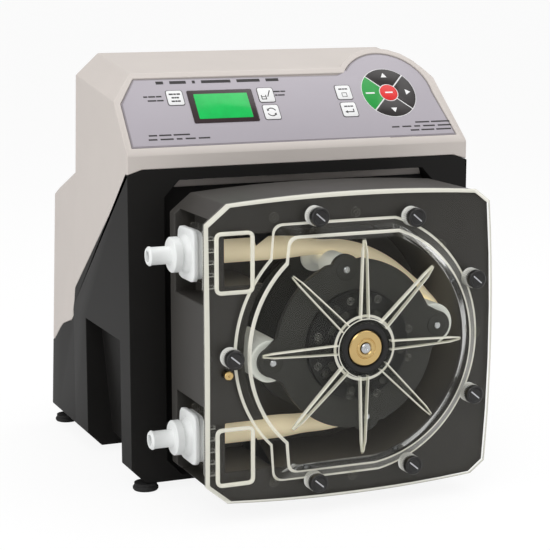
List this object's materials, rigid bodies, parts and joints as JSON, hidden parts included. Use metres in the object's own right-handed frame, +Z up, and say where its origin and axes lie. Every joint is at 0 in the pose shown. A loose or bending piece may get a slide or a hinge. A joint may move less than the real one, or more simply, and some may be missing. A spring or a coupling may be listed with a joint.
{
  "type": "peristaltic pump",
  "caption": "Peristaltic metering pump: cast casing with a sloping keypad and display, and a roller pump head behind a clear ribbed cover held by thumb screws.",
  "frame": {"origin": "centre of the bounding box on the plane that the feet stand on", "axes": "X to the right seen from the front, Y from the pump head to the back, Z up"},
  "size_m": [0.318, 0.386, 0.365],
  "materials": {
    "light_casting": "fine satin paint",
    "black_casting": "textured powder paint",
    "head_casting": "satin",
    "membrane": "fine grain",
    "bezel": "gloss",
    "screen": "gloss",
    "key_white": "satin",
    "key_black": "satin",
    "key_green": "satin",
    "key_red": "satin",
    "board": "satin",
    "sheet_steel": "brushed",
    "steel": "turned",
    "drive_metal": "cast",
    "connector": "satin",
    "bush": "turned",
    "tube": "matt",
    "white_plastic": "satin",
    "clear_plastic": "polished",
    "rotor": "satin",
    "roller": "satin",
    "seal": "matt",
    "foot_rubber": "matt",
    "knob": "satin"
  },
  "bodies": {
    "body": {"upper_housing": "light_casting", "lower_housing": "black_casting", "head_adapter": "black_casting", "head_body": "head_casting", "panel_membrane": "membrane", "display_bezel": "bezel", "display_glass": "screen", "control_board": "board", "power_board": "board", "base_plate": "sheet_steel", "rear_bearing": "steel", "gearbox": "drive_metal", "drive_motor": "drive_metal", "connector_plate": "connector", "power_inlet": "connector", "signal_gland": "connector", "pump_tube": "tube", "upper_fitting": "white_plastic", "lower_fitting": "white_plastic", "upper_collar": "clear_plastic", "lower_collar": "clear_plastic", "foot_front_left": "foot_rubber", "foot_front_right": "foot_rubber", "foot_rear_left": "foot_rubber", "foot_rear_right": "foot_rubber"},
    "rotor": {"rotor_front_plate": "rotor", "rotor_back_plate": "rotor", "rotor_hub": "rotor", "rotor_cap": "rotor", "drive_shaft": "steel", "squeeze_pin_1": "steel", "squeeze_pin_2": "steel", "guide_pin_1": "steel", "guide_pin_2": "steel"},
    "cover": {"head_cover": "clear_plastic", "cover_bush": "bush", "cover_seal": "seal", "leak_sensor_screw": "bush"},
    "squeeze_roller_1": {"squeeze_roller_1": "roller"},
    "squeeze_roller_2": {"squeeze_roller_2": "roller"},
    "guide_roller_1": {"guide_roller_1": "roller"},
    "guide_roller_2": {"guide_roller_2": "roller"},
    "thumb_screw_1": {"thumb_screw_1": "knob"},
    "thumb_screw_2": {"thumb_screw_2": "knob"},
    "thumb_screw_3": {"thumb_screw_3": "knob"},
    "thumb_screw_4": {"thumb_screw_4": "knob"},
    "thumb_screw_5": {"thumb_screw_5": "knob"},
    "thumb_screw_6": {"thumb_screw_6": "knob"},
    "thumb_screw_7": {"thumb_screw_7": "knob"},
    "key_mode": {"key_mode": "key_white"},
    "key_calibrate": {"key_calibrate": "key_white"},
    "key_direction": {"key_direction": "key_white"},
    "key_menu": {"key_menu": "key_white"},
    "key_enter": {"key_enter": "key_white"},
    "key_right": {"key_right": "key_black"},
    "key_up": {"key_up": "key_black"},
    "key_start": {"key_start": "key_green"},
    "key_down": {"key_down": "key_black"},
    "key_stop": {"key_stop": "key_red"}
  },
  "joints": [
    {"name": "rotor_turn", "type": "hinge", "parent": "body", "child": "rotor", "pos_m": [0.002, -0.138, 0.138], "axis": [0, 1, 0], "continuous": true, "deforming": ["pump_tube"]},
    {"name": "squeeze_roller_1_turn", "type": "hinge", "parent": "rotor", "child": "squeeze_roller_1", "pos_m": [0.075, -0.138, 0.14735], "axis": [0, 1, 0], "continuous": true},
    {"name": "squeeze_roller_2_turn", "type": "hinge", "parent": "rotor", "child": "squeeze_roller_2", "pos_m": [-0.071, -0.138, 0.12865], "axis": [0, 1, 0], "continuous": true},
    {"name": "guide_roller_1_turn", "type": "hinge", "parent": "rotor", "child": "guide_roller_1", "pos_m": [-0.00738, -0.138, 0.19929], "axis": [0, 1, 0], "continuous": true},
    {"name": "guide_roller_2_turn", "type": "hinge", "parent": "rotor", "child": "guide_roller_2", "pos_m": [0.01138, -0.138, 0.07671], "axis": [0, 1, 0], "continuous": true},
    {"name": "cover_pull", "type": "slide", "parent": "body", "child": "cover", "axis": [0, -1, 0], "range_m": [0, 0.1]},
    {"name": "thumb_screw_1_turn", "type": "hinge", "parent": "cover", "child": "thumb_screw_1", "pos_m": [-0.0377, -0.178, 0.2457], "axis": [0, 1, 0], "continuous": true},
    {"name": "thumb_screw_2_turn", "type": "hinge", "parent": "cover", "child": "thumb_screw_2", "pos_m": [0.047, -0.178, 0.2405], "axis": [0, 1, 0], "continuous": true},
    {"name": "thumb_screw_3_turn", "type": "hinge", "parent": "cover", "child": "thumb_screw_3", "pos_m": [0.1028, -0.178, 0.1864], "axis": [0, 1, 0], "continuous": true},
    {"name": "thumb_screw_4_turn", "type": "hinge", "parent": "cover", "child": "thumb_screw_4", "pos_m": [0.1028, -0.178, 0.0896], "axis": [0, 1, 0], "continuous": true},
    {"name": "thumb_screw_5_turn", "type": "hinge", "parent": "cover", "child": "thumb_screw_5", "pos_m": [0.047, -0.178, 0.0355], "axis": [0, 1, 0], "continuous": true},
    {"name": "thumb_screw_6_turn", "type": "hinge", "parent": "cover", "child": "thumb_screw_6", "pos_m": [-0.0377, -0.178, 0.0303], "axis": [0, 1, 0], "continuous": true},
    {"name": "thumb_screw_7_turn", "type": "hinge", "parent": "cover", "child": "thumb_screw_7", "pos_m": [-0.1094, -0.178, 0.138], "axis": [0, 1, 0], "continuous": true},
    {"name": "key_mode_press", "type": "slide", "parent": "body", "child": "key_mode", "axis": [0, 0.766, -0.6428], "range_m": [0, 0.0008], "stiffness_N_per_m": 900},
    {"name": "key_calibrate_press", "type": "slide", "parent": "body", "child": "key_calibrate", "axis": [0, 0.766, -0.6428], "range_m": [0, 0.0008], "stiffness_N_per_m": 900},
    {"name": "key_direction_press", "type": "slide", "parent": "body", "child": "key_direction", "axis": [0, 0.766, -0.6428], "range_m": [0, 0.0008], "stiffness_N_per_m": 900},
    {"name": "key_menu_press", "type": "slide", "parent": "body", "child": "key_menu", "axis": [0, 0.766, -0.6428], "range_m": [0, 0.0008], "stiffness_N_per_m": 900},
    {"name": "key_enter_press", "type": "slide", "parent": "body", "child": "key_enter", "axis": [0, 0.766, -0.6428], "range_m": [0, 0.0008], "stiffness_N_per_m": 900},
    {"name": "key_right_press", "type": "slide", "parent": "body", "child": "key_right", "axis": [0, 0.766, -0.6428], "range_m": [0, 0.0008], "stiffness_N_per_m": 900},
    {"name": "key_up_press", "type": "slide", "parent": "body", "child": "key_up", "axis": [0, 0.766, -0.6428], "range_m": [0, 0.0008], "stiffness_N_per_m": 900},
    {"name": "key_start_press", "type": "slide", "parent": "body", "child": "key_start", "axis": [0, 0.766, -0.6428], "range_m": [0, 0.0008], "stiffness_N_per_m": 900},
    {"name": "key_down_press", "type": "slide", "parent": "body", "child": "key_down", "axis": [0, 0.766, -0.6428], "range_m": [0, 0.0008], "stiffness_N_per_m": 900},
    {"name": "key_stop_press", "type": "slide", "parent": "body", "child": "key_stop", "axis": [0, 0.766, -0.6428], "range_m": [0, 0.0008], "stiffness_N_per_m": 900}
  ],
  "couplings": [
    {"joint": "squeeze_roller_1_turn", "follows": "rotor_turn", "ratio": -5.3},
    {"joint": "squeeze_roller_2_turn", "follows": "rotor_turn", "ratio": -5.3},
    {"joint": "guide_roller_1_turn", "follows": "rotor_turn", "ratio": -13},
    {"joint": "guide_roller_2_turn", "follows": "rotor_turn", "ratio": -13}
  ]
}
